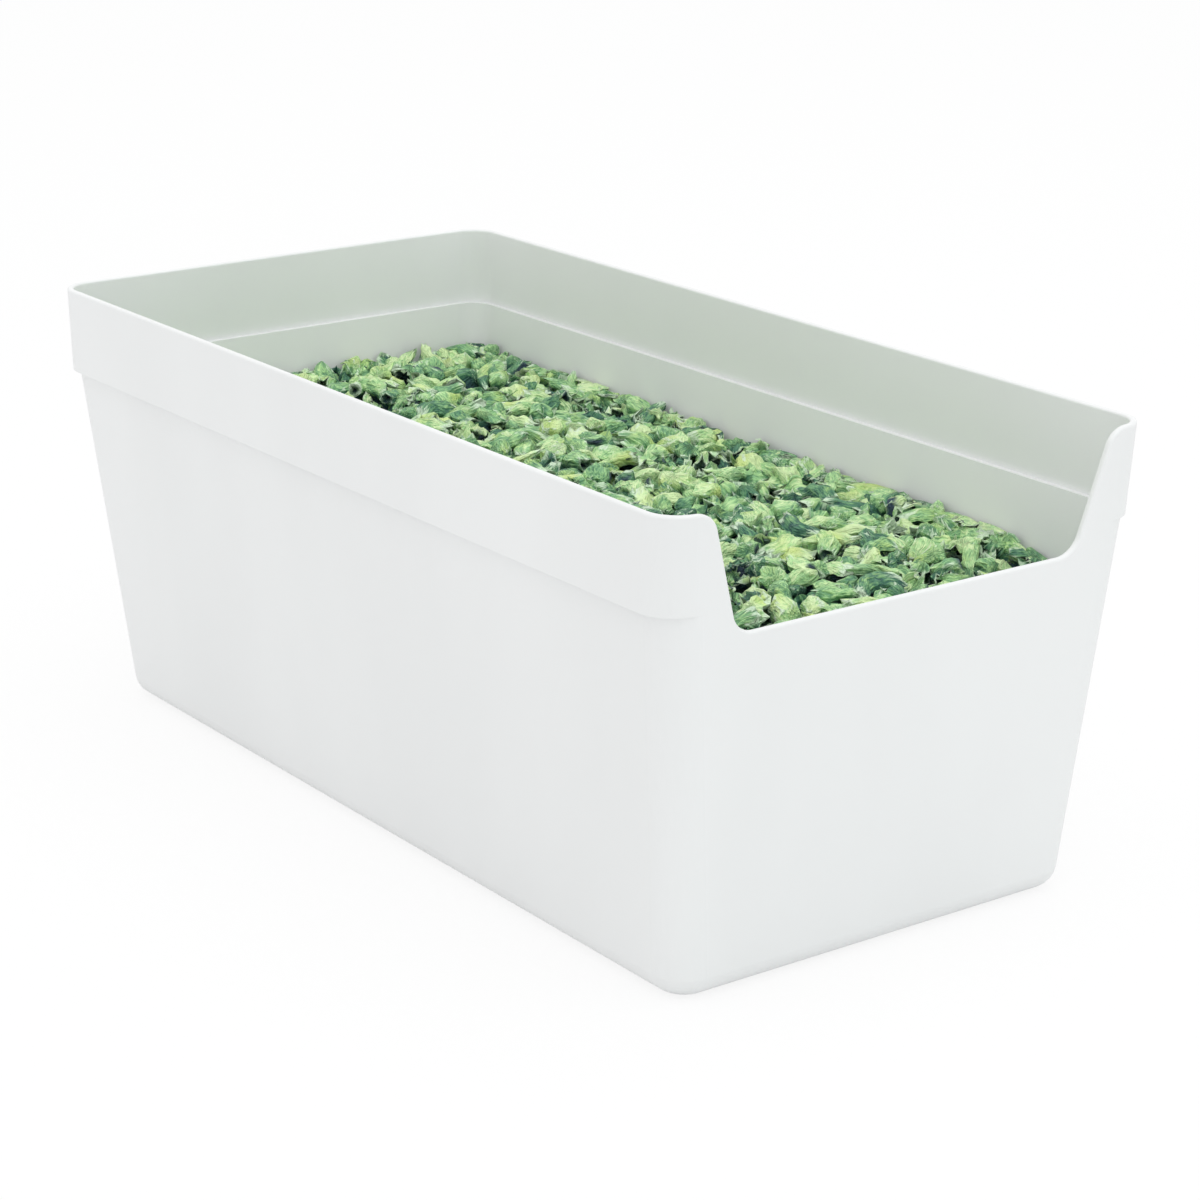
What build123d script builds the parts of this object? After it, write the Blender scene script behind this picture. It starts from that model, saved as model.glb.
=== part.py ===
from build123d import *
from math import radians, sqrt, tan
from random import Random
import os

os.makedirs("parts", exist_ok=True)

# Long open food bin with a scooped front wall, holding a load of cut greens.
# The origin is the middle of the base, +Z is up, the scooped front faces -Y. Millimetres.

# Driving dimensions of the moulding
overall_length = 406.0
overall_width = 202.0
overall_height = 169.0
wall = 2.5
floor_thickness = 3.0
side_draft = 5.25
front_draft = 4.85
corner_radius = 12.8
base_edge_radius = 8.5
lip_radius = 0.9

# The collar: a band that stands out round both long sides and the back, with a ledge inside it
collar_height = 33.0
collar_step = 2.1
collar_draft = 1.0
ledge_rise = 1.6

# The scoop in the front wall. Each post beside it is measured to the scoop's sharp corner at the rim
scoop_depth = 42.5
scoop_post_width = 17.8
scoop_side_angle = 16.0
scoop_floor_radius = 9.0
scoop_rim_radius = 8.5

# The load: a packed bed, with a top layer of separate cut pieces
bed_height = 101.0
load_clearance = 0.4
piece_rows = 16
piece_columns = 8
piece_gap = 0.7
piece_height_low = 8.0
piece_height_high = 16.0
lattice_jitter = 0.2
load_seed = 11

collar_bottom = overall_height - collar_height
ledge_level = collar_bottom + ledge_rise
scoop_floor_level = overall_height - scoop_depth
bed_top = floor_thickness + bed_height


# Outline of the body and of the collar at a level: half width, front and back
def body_outline(level):
    inward = collar_height * tan(radians(collar_draft)) + collar_step
    inward += (collar_bottom - level) * tan(radians(side_draft))
    return overall_width / 2 - inward, front_face(level), overall_length / 2 - inward


def collar_outline(level):
    inward = (overall_height - level) * tan(radians(collar_draft))
    return overall_width / 2 - inward, front_face(level), overall_length / 2 - inward


# The front wall is one plane from the base to the rim, with no step
def front_face(level):
    return (overall_height - level) * tan(radians(front_draft)) - overall_length / 2


# A drafted block between two levels of an outline, drawn inset, with rounded upright corners
def drafted_block(outline, low, high, inset=0.0):
    low_half, low_front, low_back = outline(low)
    high_half, high_front, high_back = outline(high)
    low_half, high_half = low_half - inset, high_half - inset
    with BuildPart() as block:
        with BuildSketch(Plane.XZ):
            Polygon((-low_half, low), (low_half, low), (high_half, high), (-high_half, high), align=None)
        extrude(amount=overall_length, both=True)
        with BuildSketch(Plane.YZ):
            Polygon(
                (low_front + inset, low),
                (low_back - inset, low),
                (high_back - inset, high),
                (high_front + inset, high),
                align=None,
            )
        extrude(amount=overall_width, both=True, mode=Mode.INTERSECT)
        fillet(block.edges().filter_by(stands_upright), corner_radius - inset)
    return block.part


def stands_upright(edge):
    return abs(edge.tangent_at(0.5).Z) > 0.9


# Faces of the scoop: cut straight through the front wall
def crosses_front_wall(face):
    return abs(face.normal_at().Y) < 0.01 and face.center().Y < front_face(0)


# Lip edges, as against the short edges that cross the wall
def runs_along_wall(edge):
    return edge.length > 2 * wall or abs(edge.tangent_at(0.5).Y) < 0.9


body_block = drafted_block(body_outline, 0, collar_bottom)
collar_block = drafted_block(collar_outline, collar_bottom, overall_height)
lower_cavity = drafted_block(body_outline, floor_thickness, ledge_level, wall)
collar_cavity = drafted_block(collar_outline, ledge_level, overall_height, wall)

with BuildPart() as bin_shell:
    add(body_block)
    fillet(bin_shell.faces().sort_by(Axis.Z)[0].edges(), base_edge_radius)
    add(collar_block)
    # Cavity below the ledge, its floor edge rounded to keep the wall even
    add(lower_cavity, mode=Mode.SUBTRACT)
    floor_level = (floor_thickness - 0.01, floor_thickness + 0.01)
    cavity_floor = bin_shell.faces().filter_by(Axis.Z).filter_by_position(Axis.Z, *floor_level)
    fillet(cavity_floor.edges(), base_edge_radius - wall)
    add(collar_cavity, mode=Mode.SUBTRACT)
    # Scoop through the front wall
    scoop_rim_half = overall_width / 2 - scoop_post_width
    scoop_floor_half = scoop_rim_half - scoop_depth * tan(radians(scoop_side_angle))
    scoop_reach = scoop_rim_half + 1.5 * scoop_rim_radius
    scoop_back = front_face(scoop_floor_level) + 1.5 * wall
    with BuildSketch(Plane.XZ.offset(-scoop_back)) as scoop_profile:
        with BuildLine():
            Polyline(
                (-scoop_reach, overall_height),
                (-scoop_rim_half, overall_height),
                (-scoop_floor_half, scoop_floor_level),
                (scoop_floor_half, scoop_floor_level),
                (scoop_rim_half, overall_height),
                (scoop_reach, overall_height),
                (scoop_reach, overall_height + wall),
                (-scoop_reach, overall_height + wall),
                close=True,
            )
        make_face()
        fillet(scoop_profile.vertices().group_by(Axis.Y)[0], scoop_floor_radius)
        fillet(scoop_profile.vertices().group_by(Axis.Y)[-2].sort_by(Axis.X)[1:3], scoop_rim_radius)
    extrude(amount=scoop_back + overall_length / 2 + wall, mode=Mode.SUBTRACT)
    # Rounded lip along the rim and down through the scoop. The short edges that cross the wall
    # join faces that run smoothly on, and stay.
    scoop_faces = bin_shell.faces().filter_by(crosses_front_wall)
    rim_face = bin_shell.faces().sort_by(Axis.Z)[-1]
    lip_edges = ShapeList(scoop_faces + [rim_face]).edges().filter_by(runs_along_wall)
    fillet(lip_edges, min(lip_radius, 0.4 * wall))

bin_shell.part.label = "bin_shell"
export_step(bin_shell.part, "parts/bin_shell.step")

# The bed stands on the floor and keeps clear of the walls
load_inset = wall + load_clearance
bed_block = drafted_block(body_outline, floor_thickness, bed_top, load_inset)
with BuildPart() as packed_greens:
    add(bed_block)
    fillet(packed_greens.faces().sort_by(Axis.Z)[0].edges(), base_edge_radius - wall + load_clearance)

packed_greens.part.label = "packed_greens"
export_step(packed_greens.part, "parts/packed_greens.step")

# The top layer: a jittered lattice of blocks on the bed, each cut in two
chance = Random(load_seed)
bed_half_width, bed_front, bed_back = body_outline(bed_top)
bed_half_width -= load_inset
bed_front += load_inset
bed_back -= load_inset
corner_pull = (corner_radius - load_inset) * (1 - sqrt(0.5))
block_width = 2 * bed_half_width / piece_columns
block_length = (bed_back - bed_front) / piece_rows


# One node of the lattice: edge nodes slide along the wall, corner nodes sit on the rounded corner
def lattice_node(row, column):
    at_end = row in (0, piece_rows)
    at_side = column in (0, piece_columns)
    x = column * block_width - bed_half_width
    y = row * block_length + bed_front
    if at_end and at_side:
        x -= corner_pull * (1 if column else -1)
        y -= corner_pull * (1 if row else -1)
    if not at_side:
        x += block_width * lattice_jitter * chance.uniform(-1, 1)
    if not at_end:
        y += block_length * lattice_jitter * chance.uniform(-1, 1)
    return Vector(x, y)


# A block of four corners, cut in two from one side to the opposite one
def halves(corners):
    if chance.random() < 0.5:
        corners = corners[1:] + corners[:1]
    a, b, c, d = corners
    near_cut = a + (b - a) * chance.uniform(0.4, 0.6)
    far_cut = d + (c - d) * chance.uniform(0.4, 0.6)
    return [a, near_cut, far_cut, d], [near_cut, b, c, far_cut]


# An outline shrunk towards a point, as a face at a level
def outline_face(corners, centre, scale, level):
    with BuildSketch(Plane.XY.offset(level)) as outline:
        Polygon(*[centre + (corner - centre) * scale for corner in corners], align=None)
    return outline.sketch


# One cut piece: a foot on the bed, a wider girth and a smaller crown that leans to one corner
def piece_sections(corners):
    middle = sum(corners, Vector()) / len(corners)
    girth_scale = 1 - 2 * piece_gap / min(block_width, block_length)
    foot_scale = girth_scale * chance.uniform(0.8, 0.92)
    crown_scale = girth_scale * chance.uniform(0.35, 0.7)
    height = chance.uniform(piece_height_low, piece_height_high)
    lean = (chance.choice(corners) - middle) * (girth_scale - crown_scale) * 0.5
    return [
        outline_face(corners, middle, foot_scale, bed_top),
        outline_face(corners, middle, girth_scale, bed_top + height * chance.uniform(0.3, 0.55)),
        outline_face([corner + lean / crown_scale for corner in corners], middle, crown_scale, bed_top + height),
    ]


lattice = [[lattice_node(row, column) for column in range(piece_columns + 1)] for row in range(piece_rows + 1)]
for row in range(piece_rows):
    near_nodes, far_nodes = lattice[row], lattice[row + 1]
    with BuildPart() as cut_greens:
        pieces = []
        for column in range(piece_columns):
            block = [near_nodes[column], near_nodes[column + 1], far_nodes[column + 1], far_nodes[column]]
            for piece in halves(block):
                pieces.append(loft(piece_sections(piece), ruled=True, mode=Mode.PRIVATE))
        add(pieces)
    cut_greens.part.label = f"cut_greens_row_{row + 1:02d}"
    export_step(cut_greens.part, f"parts/{cut_greens.part.label}.step")
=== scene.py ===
from math import cos, pi, radians, sin

import bmesh
import bpy
import numpy as np
from mathutils import Matrix, Vector, noise


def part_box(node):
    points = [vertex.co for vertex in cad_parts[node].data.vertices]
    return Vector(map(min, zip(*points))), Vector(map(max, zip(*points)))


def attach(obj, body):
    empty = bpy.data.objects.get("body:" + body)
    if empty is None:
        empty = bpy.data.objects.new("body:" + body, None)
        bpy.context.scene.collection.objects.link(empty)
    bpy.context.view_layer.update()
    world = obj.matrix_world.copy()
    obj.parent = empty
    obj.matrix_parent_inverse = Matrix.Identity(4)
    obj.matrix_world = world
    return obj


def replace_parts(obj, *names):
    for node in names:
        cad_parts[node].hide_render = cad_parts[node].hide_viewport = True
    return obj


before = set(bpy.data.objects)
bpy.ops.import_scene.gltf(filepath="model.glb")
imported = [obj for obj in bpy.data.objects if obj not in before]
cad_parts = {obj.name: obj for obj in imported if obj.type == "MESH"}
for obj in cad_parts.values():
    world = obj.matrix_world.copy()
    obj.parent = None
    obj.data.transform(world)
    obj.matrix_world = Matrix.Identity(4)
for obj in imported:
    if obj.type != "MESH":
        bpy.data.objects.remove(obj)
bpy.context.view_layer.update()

# A long white food bin with a scooped front, holding a load of cut green vegetables.
# Metres, in the frame of the part: +Z up, the scooped front wall faces -Y.

MM = 0.001

# Without a seed of its own the folding noise would start from the clock, and each run would differ
noise.seed_set(7)

bed_low, bed_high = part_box("packed_greens")
row_names = sorted(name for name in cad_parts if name.startswith("cut_greens_row"))


# The sockets of the Mix node that belong to colours: its factor, first, second and result
MIX_FACTOR, MIX_FIRST, MIX_SECOND, MIX_RESULT = 0, 6, 7, 2


# A value in a finish: sums written on it add Math nodes
class Value:
    def __init__(self, finish, socket):
        self.finish = finish
        self.socket = socket

    def maths(self, operation, first, second):
        return self.finish.node("Math", {"operation": operation}, {0: first, 1: second})

    def __add__(self, other):
        return self.maths("ADD", self, other)

    def __sub__(self, other):
        return self.maths("SUBTRACT", self, other)

    def __rsub__(self, other):
        return self.maths("SUBTRACT", other, self)

    def __mul__(self, other):
        return self.maths("MULTIPLY", self, other)

    __radd__ = __add__
    __rmul__ = __mul__

    # How far the value has come from low to high, as a smooth step from 0 to 1
    def step(self, low, high):
        settings = {"interpolation_type": "SMOOTHSTEP"}
        return self.finish.node("MapRange", settings, {"Value": self, "From Min": low, "From Max": high})


# A finish is a node tree, built one node at a time
class Finish:
    def __init__(self, owner):
        owner.use_nodes = True
        self.owner = owner
        self.tree = owner.node_tree
        self.tree.nodes.clear()

    # One node of any type: its settings first, a ramp's stops among them, then its sockets
    def node(self, kind, settings=None, sockets=None, output=0):
        made = self.tree.nodes.new("ShaderNode" + kind)
        for name, value in (settings or {}).items():
            if name == "stops":
                ramp = made.color_ramp.elements
                for place, colour in value[1:-1]:
                    ramp.new(place)
                for element, (place, colour) in zip(ramp, value):
                    element.position = place
                    element.color = colour
            else:
                setattr(made, name, value)
        for name, value in (sockets or {}).items():
            if isinstance(value, Value):
                self.tree.links.new(value.socket, made.inputs[name])
            else:
                made.inputs[name].default_value = value
        return Value(self, made.outputs[output]) if made.outputs else None

    def mix(self, factor, first, second):
        colours = {MIX_FACTOR: factor, MIX_FIRST: first, MIX_SECOND: second}
        return self.node("Mix", {"data_type": "RGBA"}, colours, output=MIX_RESULT)

    # Places in the part's own frame, which its finishes are laid out in
    def place(self):
        return self.node("TexCoord", output="Object")

    def grain(self, place, scale, detail, stretch=(1, 1, 1)):
        stretched = self.node("Mapping", {}, {"Vector": place, "Scale": stretch})
        return self.node("TexNoise", {}, {"Vector": stretched, "Scale": scale, "Detail": detail})

    def attribute(self, name, output="Fac"):
        return self.node("Attribute", {"attribute_name": name}, output=output)

    def bump(self, height, strength, distance):
        return self.node("Bump", {}, {"Strength": strength, "Distance": distance, "Height": height})

    def surface(self, shader):
        self.node("OutputMaterial", {}, {"Surface": shader})
        return self.owner


def finish(name):
    return Finish(bpy.data.materials.new(name))


# The linear colour that shows on the screen as these values from 0 to 255
def screen(red, green, blue):
    shares = (red / 255, green / 255, blue / 255)
    return tuple(((share + 0.055) / 1.055) ** 2.4 for share in shares) + (1.0,)


# Moulded plastic: white, satin, with a very fine grain and faint flow marks
def white_plastic():
    look = finish("white_moulded_plastic")
    grain = look.grain(look.place(), 1400, 2)
    flow = look.grain(look.place(), 14, 2, (1, 1, 0.3))
    sockets = {
        "Base Color": look.mix(flow.step(0.3, 0.7), screen(230, 231, 231), screen(233, 234, 234)),
        "Roughness": 0.44 + flow * 0.08,
        "Specular IOR Level": 0.35,
        "Normal": look.bump(grain, 0.05, 0.1 * MM),
    }
    return look.surface(look.node("BsdfPrincipled", {}, sockets))


# Cut green vegetable: skin with fibres and riper patches, pale ragged rims, and painted shade in slate on
# the hollow sides and in the gaps; the skin is painted lighter near the top of the pile and of each piece
def cut_vegetable():
    look = finish("cut_green_vegetable")
    fibre_place = look.attribute("grain", output="Vector")
    fibre = look.grain(fibre_place, 650, 3).step(0.3, 0.7)
    speck = look.grain(fibre_place, 1500, 2).step(0.3, 0.7)
    mottle = look.grain(look.place(), 220, 4).step(0.3, 0.7)
    ripe = look.grain(look.place(), 75, 1).step(0.5, 0.75)
    tint, pale, hollow, crest = [look.attribute(label) for label in ("tint", "pale", "hollow", "crest")]
    stops = [
        (0.0, screen(44, 88, 84)),
        (0.25, screen(84, 136, 106)),
        (0.5, screen(130, 182, 130)),
        (0.75, screen(182, 228, 160)),
        (1.0, screen(228, 252, 192)),
    ]
    shade = tint + (mottle - 0.5) * 0.28 + (fibre - 0.5) * 0.16 + (speck - 0.5) * 0.32
    # Painted light and shade: the green is lighter near the top of the pile and of each piece, darker
    # deeper in
    shade = shade + (crest - 0.7) * 0.6
    green = look.node("ValToRGB", {"stops": stops}, {"Fac": shade})
    skin = look.mix(ripe * shade.step(0.2, 0.9) * 0.6, green, screen(206, 226, 112))
    rim = (pale + (fibre - 0.5) * 0.5 + (speck - 0.5) * 0.3).step(0.42, 0.85)
    rimmed = look.mix(rim * 0.9, skin, screen(222, 243, 216))
    # Painted shade: dark slate on the hollow sides and undersides of the pieces
    hollow_shaded = look.mix(hollow * 0.85, rimmed, screen(58, 78, 96))
    # Painted shade: dark slate where a point lies deep in the load, as in the gaps between the pieces
    shaded = look.mix(crest.step(0.0, 0.6), screen(56, 86, 100), hollow_shaded)
    sockets = {
        "Base Color": shaded,
        "Roughness": 0.4 + fibre * 0.25,
        "Specular IOR Level": 0.4,
        "Normal": look.bump(fibre + speck * 0.5 + mottle, 0.85, 0.9 * MM),
    }
    return look.surface(look.node("BsdfPrincipled", {}, sockets))


# The inside of the load, seen between the pieces: packed lumps in dark greens, which stand in part for the
# shade between the pieces, with painted shade in dark slate where they meet
def shaded_core():
    look = finish("shaded_vegetable_core")
    mottle = look.grain(look.place(), 260, 4)
    lumps = {"Vector": look.place(), "Scale": 95}
    lump = look.node("TexVoronoi", {}, lumps, output="Color")
    meeting_shade = look.node("TexVoronoi", {"feature": "DISTANCE_TO_EDGE"}, lumps, output="Distance")
    shade = look.node("SeparateColor", {}, {"Color": lump}, output="Red") * 0.7 + mottle * 0.5
    green = look.mix(shade.step(0.1, 0.9), screen(44, 74, 72), screen(104, 148, 108))
    sockets = {
        # Painted shade: dark slate along the lines where the lumps meet
        "Base Color": look.mix(meeting_shade.step(0.0, 0.16), screen(40, 64, 70), green),
        "Roughness": 0.55 + mottle * 0.3,
        "Normal": look.bump(meeting_shade.step(0.0, 0.3) + mottle * 0.4, 1.0, 3 * MM),
    }
    return look.surface(look.node("BsdfPrincipled", {}, sockets))


# The walls that hold the load: half width, front and back of the bed at its top and low down,
# where the flat walls begin over the rounded edge of the floor
bed_points = np.array([vertex.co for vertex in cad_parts["packed_greens"].data.vertices])
floor_edge_radius = 6.4 * MM
load_corner_radius = 9.9 * MM
press_softness = 1.0 * MM


def bed_outline(level):
    band = bed_points[abs(bed_points[:, 2] - level) < 0.5 * MM]
    return np.array([abs(band[:, 0]).max(), band[:, 1].min(), band[:, 1].max()])


wall_start = bed_points[:, 2][bed_points[:, 2] < bed_low.z + 1.2 * floor_edge_radius].max()
low_outline = bed_outline(wall_start)
top_outline = bed_outline(bed_high.z)


def load_outline(levels):
    share = (levels - wall_start) / (bed_high.z - wall_start)
    return [low + (top - low) * share for low, top in zip(low_outline, top_outline)]


# A distance kept over a least one: it is eased in, so that what is pressed stays in order
def eased(distance, least, softness):
    steps = np.clip((distance - least) / softness, -60, 60)
    return least + np.where(steps > 30, distance - least, softness * np.log1p(np.exp(steps)))


# Points pressed back from the walls and the floor of the bin
def pressed(points, clearance, softness=press_softness):
    x, y, z = points.T
    z = bed_low.z + eased(z - bed_low.z, clearance, softness)
    half_width, front, back = load_outline(z)
    rounding = np.clip((wall_start - z) / floor_edge_radius, 0, 1)
    inset = floor_edge_radius * (1 - np.sqrt(1 - rounding**2))
    middle = (front + back) / 2
    offset = np.stack([x, y - middle], 1)
    half = np.stack([half_width - inset, (back - front) / 2 - inset], 1)
    past = abs(offset) - (half - load_corner_radius)
    outside = np.maximum(past, 0)
    reach = np.hypot(*outside.T)
    gap = load_corner_radius - reach - np.minimum(past.max(1), 0)
    across = (past[:, 0] > past[:, 1]).astype(float)
    straight = np.stack([across, 1 - across], 1)
    corner = outside / np.maximum(reach, 1e-9)[:, None]
    direction = np.where((reach > 1e-9)[:, None], corner, straight) * np.sign(offset)
    moved = offset - direction * (eased(gap, clearance, softness) - gap)[:, None]
    return np.stack([moved[:, 0], moved[:, 1] + middle, z], 1)


# A cutting is one piece of vegetable: its points and faces, how pale each point is, how much painted shade
# it takes as a hollow side, and the place that its fibres are read from. Its painted light and shade, from
# lit at 1 to shaded at 0, is set where it comes to rest
class Cutting:
    def __init__(self, points, faces, pale, hollow, grain):
        self.points = points
        self.faces = faces
        self.pale = pale
        self.hollow = hollow
        self.grain = grain
        self.tint = 0.5
        self.crest = np.ones(len(points))

    def turned(self, yaw, pitch, roll):
        turn = Matrix.Rotation(yaw, 3, "Z") @ Matrix.Rotation(pitch, 3, "Y") @ Matrix.Rotation(roll, 3, "X")
        self.points = self.points @ np.array(turn).T
        return self


def grid_faces(rows, columns, start=0, closed=False):
    faces = []
    for row in range(rows - 1):
        for column in range(columns if closed else columns - 1):
            beside = (column + 1) % columns
            low, high = start + row * columns, start + (row + 1) * columns
            faces.append((low + column, low + beside, high + beside, high + column))
    return faces


# Points moved by soft random folds of a size
def crumpled(points, size, amount, chance):
    shift = Vector(chance.uniform(-50, 50, 3))
    moves = [noise.noise_vector(Vector(point) / size + shift) for point in points]
    return points + amount * np.array(moves)


# How far each point lies from the nearest sharp crease, where creases of a size run at random
def creases(points, size, chance):
    shift = Vector(chance.uniform(-50, 50, 3))
    return np.array([abs(noise.noise(Vector(point) / size + shift)) for point in points])


# A thin curved piece, such as half a pod or a torn leaf, with a ragged rim
def torn_shell(chance, length, width, rows=11, columns=8):
    along = np.linspace(-1, 1, rows)[:, None] * np.ones(columns)
    across = np.linspace(-1, 1, columns)[None, :] * np.ones((rows, 1))
    ragged = chance.uniform(-0.5, 0.25, (rows, 2))
    side = np.where(across < 0, ragged[:, :1], ragged[:, 1:])
    reach = across * (1 + side * abs(across) ** 4)
    torn = chance.uniform(-0.35, 0.2, (2, columns))
    end = np.where(along < 0, torn[:1], torn[1:])
    run = along * (1 + end * abs(along) ** 5)
    half_width = width / 2 * (1 - chance.uniform(0.1, 0.6) * abs(run) ** chance.uniform(2, 4))
    if chance.random() < 0.55:
        curl = radians(chance.uniform(90, 210)) / 2
        y = half_width * np.sin(reach * curl) / sin(min(curl, pi / 2))
        z = half_width * (np.cos(reach * curl) - 1) * chance.uniform(0.7, 1.1)
    else:
        ridge = chance.uniform(-0.4, 0.4)
        y = half_width * reach
        z = -half_width * abs(reach - ridge) * chance.uniform(0.6, 1.2)
    x = run * length / 2
    z = z - chance.uniform(-0.08, 0.3) * length * run**2
    y = y + chance.uniform(-0.2, 0.2) * length * run**2
    twist = radians(chance.uniform(-50, 50)) * run
    y, z = y * np.cos(twist) - z * np.sin(twist), y * np.sin(twist) + z * np.cos(twist)
    sheet = np.stack([x, y, z], 2).reshape(-1, 3)
    sheet = crumpled(sheet, 0.6 * width, 0.22 * width, chance)
    fold = creases(sheet, 0.45 * width, chance).reshape(rows, columns, 1)
    frill = 0.4 + 0.8 * np.maximum(abs(across), abs(along)).ravel()[:, None] ** 3
    sheet = crumpled(sheet, 3 * MM, frill * MM, chance).reshape(rows, columns, 3)
    normal = np.cross(np.gradient(sheet, axis=0), np.gradient(sheet, axis=1))
    normal /= np.maximum(np.linalg.norm(normal, axis=2, keepdims=True), 1e-9)
    sheet = sheet - normal * fold * 0.5 * width
    rim = np.maximum(abs(across) ** 3, abs(along) ** 5)
    thick = (chance.uniform(1.0, 1.8) * MM * (1 - 0.7 * rim))[:, :, None]
    top, under = sheet + normal * thick / 2, sheet - normal * thick / 2
    count = rows * columns
    faces = grid_faces(rows, columns) + grid_faces(rows, columns, count)
    border = list(range(columns))
    border += [r * columns + columns - 1 for r in range(1, rows)]
    border += [(rows - 1) * columns + c for c in range(columns - 2, -1, -1)]
    border += [r * columns for r in range(rows - 2, 0, -1)]
    for near, far in zip(border, border[1:] + border[:1]):
        faces.append((near, far, far + count, near + count))
    points = np.concatenate([top.reshape(-1, 3), under.reshape(-1, 3)])
    pale = np.tile(rim.ravel(), 2)
    # Painted shade on the underside, darkest in its middle and none at the rim
    hollow = np.concatenate([np.zeros(count), 1 - rim.ravel() ** 3])
    spread = np.arctan2(y, x) if chance.random() < 0.6 else across * 1.2
    grain = np.stack([np.cos(spread) * 6 * MM, np.sin(spread) * 6 * MM, np.hypot(x, y) * 0.2], 2)
    return Cutting(points, faces, pale, hollow, np.tile(grain.reshape(-1, 3), (2, 1)))


# A short length of ribbed pod, bent, cut open at one end and pinched or cut at the other
def pod_length(chance, length, girth, rings=11, sides=11):
    along = np.linspace(0, 1, rings)[:, None] * np.ones(sides)
    around = np.linspace(0, 2 * pi, sides, endpoint=False)[None, :] + chance.uniform(0, 2 * pi)
    tip = chance.uniform(0.15, 0.8)
    swell = 1 - (1 - tip) * along ** chance.uniform(2.0, 4.0) - 0.2 * (1 - along) ** 6
    beads = 1 + 0.1 * np.sin(2 * pi * (along * chance.uniform(1.5, 3.0) + chance.random()))
    ribs = 1 + chance.uniform(0.05, 0.16) * np.cos(chance.integers(3, 6) * around + along)
    radius = girth / 2 * swell * beads * ribs
    ragged = chance.uniform(-0.06, 0.16, (2, sides)) * length
    x = (along - 0.5) * length
    x = x - ragged[:1] * (1 - along) ** 8 + ragged[1:] * along**8
    bend = chance.uniform(-0.5, 0.5) * length
    arch = chance.uniform(-0.1, 0.3) * length
    flatness = chance.uniform(0.6, 0.95)
    y = radius * np.cos(around) + bend * (along - 0.5) ** 2 * 2
    z = radius * np.sin(around) * flatness - arch * (along - 0.5) ** 2 * 2
    points = np.stack([x, y, z], 2).reshape(-1, 3)
    grain = np.stack([x * 0.25, radius * np.cos(around), radius * np.sin(around)], 2).reshape(-1, 3)
    faces = grid_faces(rings, sides, closed=True)
    pale = np.maximum((1 - along) ** 5, along**6).ravel()
    hollow = np.zeros(len(pale))
    rim = points[:sides]
    inner = rim.mean(0) + (rim - rim.mean(0)) * 0.72 + np.array([0.08 * girth, 0, 0])
    deep = rim.mean(0) + np.array([0.7 * girth, 0, 0])
    far = points[-sides:].mean(0) + np.array([0.1 * girth, 0, 0])
    count = len(points)
    beside = [(side + 1) % sides for side in range(sides)]
    for side in range(sides):
        faces.append((side, beside[side], count + beside[side], count + side))
        faces.append((count + side, count + beside[side], count + sides))
        faces.append((count - sides + side, count - sides + beside[side], count + sides + 1))
    points = np.concatenate([points, inner, [deep, far]])
    grain = np.concatenate([grain, inner, [deep, far]])
    pale = np.concatenate([pale, np.full(sides, 0.8), [0.0, 1.0]])
    # Painted shade inside the open end, darkest at its deep middle
    hollow = np.concatenate([hollow, np.full(sides, 0.4), [1.3, 0.0]])
    points = crumpled(points, 0.8 * girth, 0.16 * girth, chance)
    return Cutting(crumpled(points, 2.5 * MM, 0.7 * MM, chance), faces, pale, hollow, grain)


# The points and faces of a round ball, which the chunks are cut from
def ball():
    shape = bmesh.new()
    bmesh.ops.create_icosphere(shape, subdivisions=3, radius=1.0)
    points = np.array([vertex.co for vertex in shape.verts])
    faces = [tuple(vertex.index for vertex in face.verts) for face in shape.faces]
    shape.free()
    return points, faces


ball_points, ball_faces = ball()


# A solid chunk with flat cut sides; on about half of the chunks one side takes painted shade, dark as if
# hollow
def cut_chunk(chance, length, width):
    cuts = chance.normal(size=(10, 3))
    cuts[0, 2] = 0
    cuts /= np.linalg.norm(cuts, axis=1, keepdims=True)
    depth = chance.uniform(0.45, 0.95, 10)
    facing = ball_points @ cuts.T
    reach = np.where(facing > 0.05, depth / np.maximum(facing, 0.05), 9.0)
    radius = np.minimum(reach.min(1), 1.15)
    edge = np.sort(reach, axis=1)
    crease = np.clip(1 - (edge[:, 1] - edge[:, 0]) / 0.2, 0, 1)
    hollow = (reach.argmin(1) == 0) * (1 - crease) * chance.choice([0.0, 1.2])
    size = np.array([length, width, width * chance.uniform(0.6, 1.0)]) / 2
    points = ball_points * radius[:, None] * size * 1.2
    grain = ball_points * np.array([1.5, 6, 6]) * MM
    points = crumpled(points, 0.7 * width, 0.14 * width, chance)
    return Cutting(crumpled(points, 2.5 * MM, 0.6 * MM, chance), ball_faces, crease, hollow, grain)


# The mixture of the load: each kind, the share of the load up to and with it, and its range of
# lengths and of widths in millimetres
mixture = (
    (torn_shell, 0.4, (11, 20), (9, 14)),
    (pod_length, 0.7, (13, 29), (7, 10.5)),
    (cut_chunk, 1.0, (10, 15), (9, 13)),
)


# One cutting at random from the mixture, of its own green and with rims of its own paleness
def any_cutting(chance, scale):
    kind = chance.random()
    make, _, lengths, widths = next(entry for entry in mixture if kind < entry[1])
    cutting = make(chance, chance.uniform(*lengths) * scale * MM, chance.uniform(*widths) * scale * MM)
    cutting.tint = chance.beta(1.9, 1.8)
    cutting.pale = cutting.pale * chance.uniform(0.6, 1.1)
    cutting.grain = cutting.grain + chance.uniform(-1, 1, 3)
    return cutting


# The top of the pile as a map of heights, on which each new cutting comes to rest
map_cell = 1.5 * MM
map_half_width = 100 * MM
map_half_length = 205 * MM
map_shape = (int(2 * map_half_width / map_cell), int(2 * map_half_length / map_cell))
pile = np.full(map_shape, bed_high.z + 3 * MM)
pile_count = 1250
pile_level = 118 * MM


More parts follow.
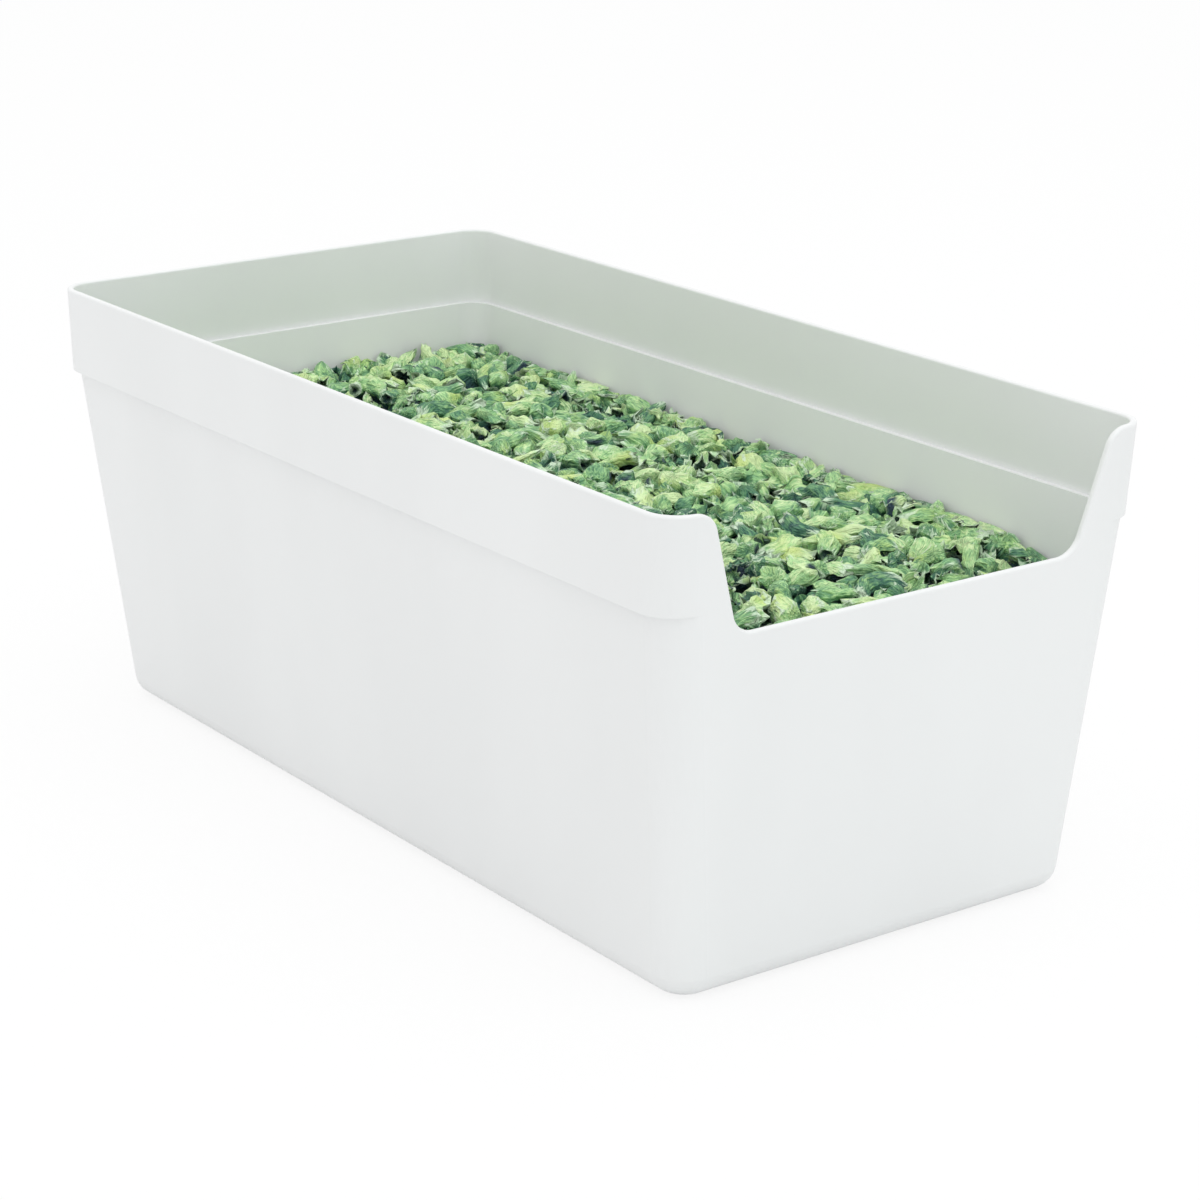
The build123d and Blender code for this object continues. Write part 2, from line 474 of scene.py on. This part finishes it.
def map_cells(points):
    columns = ((points[:, 0] + map_half_width) / map_cell).astype(int)
    rows = ((points[:, 1] + map_half_length) / map_cell).astype(int)
    return np.clip(columns, 0, map_shape[0] - 1), np.clip(rows, 0, map_shape[1] - 1)


# The level that the top of the load reaches: it rises to the back, and dips at the front wall, most
# of all in the front right corner
def load_level(x, y):
    front_dip = np.maximum(0.0, -y - 120 * MM) / (80 * MM)
    corner_dip = np.clip(x / (70 * MM), 0, 1) * np.clip((-y - 145 * MM) / (45 * MM), 0, 1)
    return pile_level + 0.01 * y - 3 * MM * front_dip**2 - 8 * MM * corner_dip


# Points of the pile kept this little over its level
def under_level(points, over=1 * MM):
    x, y, z = points.T
    return np.stack([x, y, np.minimum(z, load_level(x, y) + over)], 1)


# How far each point of a cutting lies under the pile's level
def depth_under_level(points):
    x, y, z = points.T
    return load_level(x, y) - z


# A cutting set down at a place, resting on what is there
def set_down(cutting, x, y, chance):
    points = cutting.points - cutting.points.mean(0)
    reach = abs(points).max(0)
    half_width, front, back = load_outline(bed_high.z)
    x = np.clip(x, -half_width + 0.8 * reach[0], half_width - 0.8 * reach[0])
    y = np.clip(y, front + 0.8 * reach[1], back - 0.8 * reach[1])
    points = points + np.array([x, y, 0])
    cells = map_cells(points)
    rise = np.quantile(pile[cells] - points[:, 2], 0.85)
    rise = min(rise, load_level(x, y) + chance.uniform(0, 4) * MM - points[:, 2].max())
    points[:, 2] += rise
    clearance = chance.uniform(0.3, 0.9) * MM
    cutting.points = pressed(points, clearance, 0.8 * MM)
    np.maximum.at(pile, map_cells(cutting.points), cutting.points[:, 2])


# The middle of each separate piece in a row of the frame, from left to right
def piece_places(row_name):
    shape = bmesh.new()
    shape.from_mesh(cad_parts[row_name].data)
    bmesh.ops.remove_doubles(shape, verts=shape.verts, dist=0.01 * MM)
    shape.verts.ensure_lookup_table()
    seen = set()
    places = []
    for vertex in shape.verts:
        if vertex.index in seen:
            continue
        seen.add(vertex.index)
        group = [vertex]
        for member in group:
            for edge in member.link_edges:
                other = edge.other_vert(member)
                if other.index not in seen:
                    seen.add(other.index)
                    group.append(other)
        places.append(tuple(sum((member.co for member in group), Vector()) / len(group)))
    shape.free()
    return sorted(places)


# The top layer: one cutting over each piece of the frame, then more in the lowest places
def top_layer():
    chance = np.random.default_rng(5)
    cuttings = []
    for row_name in row_names:
        for x, y, z in piece_places(row_name):
            cutting = any_cutting(chance, 0.95)
            cutting.turned(chance.uniform(0, 2 * pi), chance.normal(0, 0.25), chance.normal(0, 0.35))
            set_down(cutting, x, y, chance)
            cuttings.append(cutting)
    half_width, front, back = load_outline(bed_high.z)
    while len(cuttings) < pile_count:
        spots = np.stack([chance.uniform(-half_width, half_width, 12), chance.uniform(front, back, 12)], 1)
        depths = [pile_depth(x, y) for x, y in spots]
        x, y = spots[int(np.argmax(depths))]
        cutting = any_cutting(chance, chance.uniform(0.75, 0.98))
        cutting.turned(chance.uniform(0, 2 * pi), chance.normal(0, 0.3), chance.normal(0, 0.4))
        set_down(cutting, x, y, chance)
        cuttings.append(cutting)
    for cutting in cuttings:
        # Painted light and shade: each point lighter near the top of its cutting, darker the deeper it lies
        # under the top of the pile
        depth = pile[map_cells(cutting.points)] - cutting.points[:, 2]
        height = cutting.points[:, 2] - cutting.points[:, 2].mean()
        cutting.crest = np.clip(0.85 - depth / (10 * MM) + height / (18 * MM), 0, 1)
    return cuttings


# How far the pile lies under its level near a place
def pile_depth(x, y):
    column, row = (cells[0] for cells in map_cells(np.array([[x, y, 0.0]])))
    patch = pile[max(column - 3, 0) : column + 4, max(row - 3, 0) : row + 4]
    return load_level(x, y) - patch.mean()


# The painted light of a point that lies this deep inside the sides or the underside of the load: painted
# shade, darker deeper in
def painted_light_at_depth(depth):
    return np.clip(0.95 - depth / (9 * MM), 0, 1)


# Cuttings pressed against one wall, seen when the load is lifted out. The turn is from +X to the wall
def side_layer(wall_turn, seed):
    chance = np.random.default_rng(seed)
    pitch = 10.5 * MM
    out = np.array([cos(wall_turn), sin(wall_turn), 0])
    beside = np.array([-sin(wall_turn), cos(wall_turn), 0])
    cuttings = []
    for level in np.arange(bed_low.z + 0.5 * pitch, bed_high.z + 1.2 * pitch, pitch):  # up into the pile
        half_width, front, back = load_outline(level)
        half_length, middle = (back - front) / 2, (front + back) / 2
        reach = abs(out[0]) * half_width + abs(out[1]) * half_length
        span = 2 * (abs(out[1]) * half_width + abs(out[0]) * half_length)
        for run in np.arange(0.5 * pitch - span / 2, span / 2, pitch):
            cutting = any_cutting(chance, 1.1)
            cutting.turned(chance.uniform(0, 2 * pi), chance.normal(0, 0.3), chance.normal(0, 0.4))
            cutting.turned(0, pi / 2, 0).turned(wall_turn, 0, 0)
            place = out * (reach - chance.uniform(2, 7) * MM)
            place += beside * (run + chance.uniform(-0.4, 0.4) * pitch)
            place += np.array([0, middle, level + chance.uniform(-0.4, 0.4) * pitch])
            points = cutting.points - cutting.points.mean(0) + place
            cutting.points = pressed(under_level(points), chance.uniform(0.3, 1.5) * MM)
            from_wall = reach - (cutting.points - np.array([0, middle, 0])) @ out
            cutting.crest = painted_light_at_depth(np.minimum(from_wall, depth_under_level(cutting.points)))
            cuttings.append(cutting)
    return cuttings


# Cuttings pressed flat on the floor of the bin
def floor_layer():
    chance = np.random.default_rng(9)
    pitch = 12 * MM
    half_width, front, back = low_outline
    cuttings = []
    for x in np.arange(-half_width + 0.5 * pitch, half_width, pitch):
        for y in np.arange(front + 0.5 * pitch, back, pitch):
            cutting = any_cutting(chance, 1.2)
            cutting.turned(chance.uniform(0, 2 * pi), pi + chance.normal(0, 0.3), chance.normal(0, 0.4))
            place = np.array([x, y, bed_low.z + chance.uniform(2, 6) * MM])
            place[:2] += chance.uniform(-0.4, 0.4, 2) * pitch
            points = cutting.points - cutting.points.mean(0) + place
            cutting.points = pressed(points, chance.uniform(0.3, 1.2) * MM)
            cutting.crest = painted_light_at_depth(cutting.points[:, 2] - bed_low.z)
            cuttings.append(cutting)
    return cuttings


# One mesh of many cuttings, with what their finish reads
def joined(name, cuttings):
    mesh = bpy.data.meshes.new(name)
    faces, start = [], 0
    for cutting in cuttings:
        faces += [[start + index for index in face] for face in cutting.faces]
        start += len(cutting.points)
    mesh.from_pydata(np.concatenate([cutting.points for cutting in cuttings]).tolist(), [], faces)
    for label in ("tint", "pale", "hollow", "crest"):
        values = [np.broadcast_to(getattr(cutting, label), len(cutting.points)) for cutting in cuttings]
        layer = mesh.attributes.new(label, "FLOAT", "POINT")
        layer.data.foreach_set("value", np.concatenate(values).astype(np.float32))
    layer = mesh.attributes.new("grain", "FLOAT_VECTOR", "POINT")
    grain = np.concatenate([cutting.grain for cutting in cuttings])
    layer.data.foreach_set("vector", grain.ravel().astype(np.float32))
    shape = bmesh.new()
    shape.from_mesh(mesh)
    bmesh.ops.recalc_face_normals(shape, faces=shape.faces)
    shape.to_mesh(mesh)
    shape.free()
    mesh.shade_smooth()
    mesh.set_sharp_from_angle(angle=radians(28))
    return carried(name, mesh, vegetable)


# An object for a mesh of the load, which moves with it
def carried(name, mesh, look):
    piece = bpy.data.objects.new(name, mesh)
    bpy.context.scene.collection.objects.link(piece)
    mesh.materials.append(look)
    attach(piece, "contents")
    return piece


# The lumpy inside of the load, a little smaller than the bed
def core():
    shape = bmesh.new()
    bmesh.ops.create_cube(shape, size=2.0)
    bmesh.ops.subdivide_edges(shape, edges=shape.edges, cuts=60, use_grid_fill=True)
    mesh = bpy.data.meshes.new("load_core")
    shape.to_mesh(mesh)
    shape.free()
    unit = np.array([vertex.co for vertex in mesh.vertices])
    levels = bed_low.z + 3 * MM + (unit[:, 2] + 1) / 2 * (bed_high.z - bed_low.z - 3 * MM)
    half_width, front, back = load_outline(levels)
    y = (front + back) / 2 + unit[:, 1] * (back - front) / 2
    points = np.stack([unit[:, 0] * half_width, y, levels], 1)
    points = crumpled(points, 9 * MM, 3 * MM, np.random.default_rng(3))
    points = pressed(points, 3.5 * MM, 1.5 * MM)
    mesh.vertices.foreach_set("co", points.ravel().astype(np.float32))
    mesh.update()
    mesh.shade_smooth()
    return carried("load_core", mesh, shaded_core())


plastic = white_plastic()
vegetable = cut_vegetable()
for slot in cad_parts["bin_shell"].material_slots:
    slot.material = plastic

top_cuttings = top_layer()
row_length = (bed_high.y - bed_low.y) / len(row_names)
for number, row_name in enumerate(row_names):
    front = bed_low.y + number * row_length if number else -1.0
    back = bed_low.y + (number + 1) * row_length if number + 1 < len(row_names) else 1.0
    members = [cutting for cutting in top_cuttings if front <= cutting.points[:, 1].mean() < back]
    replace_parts(joined(row_name + "_cuttings", members), row_name)

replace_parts(core(), "packed_greens")
for number, side in enumerate(("right", "back", "left", "front")):
    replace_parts(joined("load_side_" + side, side_layer(number * pi / 2, 20 + number)), "packed_greens")
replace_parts(joined("load_underside", floor_layer()), "packed_greens")


# Whether a surface of the stage is looked at, straight or in a reflection, and gives no light
def looked_at(look):
    rays = ("Is Camera Ray", "Is Glossy Ray", "Is Transmission Ray")
    camera, glossy, through = [look.node("LightPath", output=name) for name in rays]
    return camera.maths("MAXIMUM", camera, glossy.maths("MAXIMUM", glossy, through))


# The pale floor: it reads as white, and keeps part of the bin's shadow
def pale_floor():
    look = finish("pale_floor")
    bare = look.node("BsdfDiffuse", {}, {"Color": (0.88, 0.88, 0.88, 1)})
    white = look.node("Emission", {}, {"Color": (1, 1, 1, 1), "Strength": 1.0})
    shown = look.node("MixShader", {}, {0: 0.85, 1: bare, 2: white})
    look.surface(look.node("MixShader", {}, {0: looked_at(look), 1: bare, 2: shown}))
    mesh = bpy.data.meshes.new("floor")
    half = 8.0
    corners = [(-half, -half, 0), (half, -half, 0), (half, half, 0), (-half, half, 0)]
    mesh.from_pydata(corners, [], [(0, 1, 2, 3)])
    mesh.materials.append(look.owner)
    floor = bpy.data.objects.new("floor", mesh)
    floor.location.z = -0.3 * MM
    bpy.context.scene.collection.objects.link(floor)


# Even white light from all round, a little cooler from the front; it is plain white where it is seen
def surroundings():
    world = bpy.data.worlds.new("soft_studio")
    look = Finish(world)
    direction = look.node("TexCoord", output="Generated")
    forward = look.node("SeparateXYZ", {}, {"Vector": direction}, output="Y")
    sky = look.mix(forward.step(-0.9, -0.2), (0.95, 0.985, 0.985, 1), (0.985, 0.985, 0.985, 1))
    light = look.node("Background", {}, {"Color": sky, "Strength": 1.0})
    white = look.node("Background", {}, {"Color": (1, 1, 1, 1), "Strength": 1.0})
    shown = look.node("MixShader", {}, {0: looked_at(look), 1: light, 2: white})
    look.node("OutputWorld", {}, {"Surface": shown})
    bpy.context.scene.world = world


# A broad soft lamp, above and in front, which lifts the rim, the load and the inside of the back wall
def soft_lamp():
    lamp = bpy.data.lights.new("soft_lamp", "AREA")
    lamp.shape = "SQUARE"
    lamp.size = 2.4
    lamp.energy = 15
    holder = bpy.data.objects.new("soft_lamp", lamp)
    holder.location = (0, -0.55, 2.3)
    holder.rotation_euler = holder.location.to_track_quat("Z", "Y").to_euler()
    bpy.context.scene.collection.objects.link(holder)


# The camera of the photograph, worked out from the bin's own edges in it
def photograph_camera():
    camera = bpy.data.cameras.new("camera")
    camera.sensor_width = 36.0
    camera.lens = 94.654
    holder = bpy.data.objects.new("camera", camera)
    bpy.context.scene.collection.objects.link(holder)
    turn = Matrix.Rotation(radians(-35.587), 4, "Z")
    tilt = Matrix.Rotation(pi / 2 + radians(-18.034), 4, "X") @ Matrix.Rotation(radians(-0.061), 4, "Z")
    holder.matrix_world = Matrix.Translation((-0.641612, -0.923635, 0.437783)) @ (turn @ tilt)
    bpy.context.scene.camera = holder


pale_floor()
surroundings()
soft_lamp()
photograph_camera()
bpy.context.scene.view_settings.view_transform = "Standard"
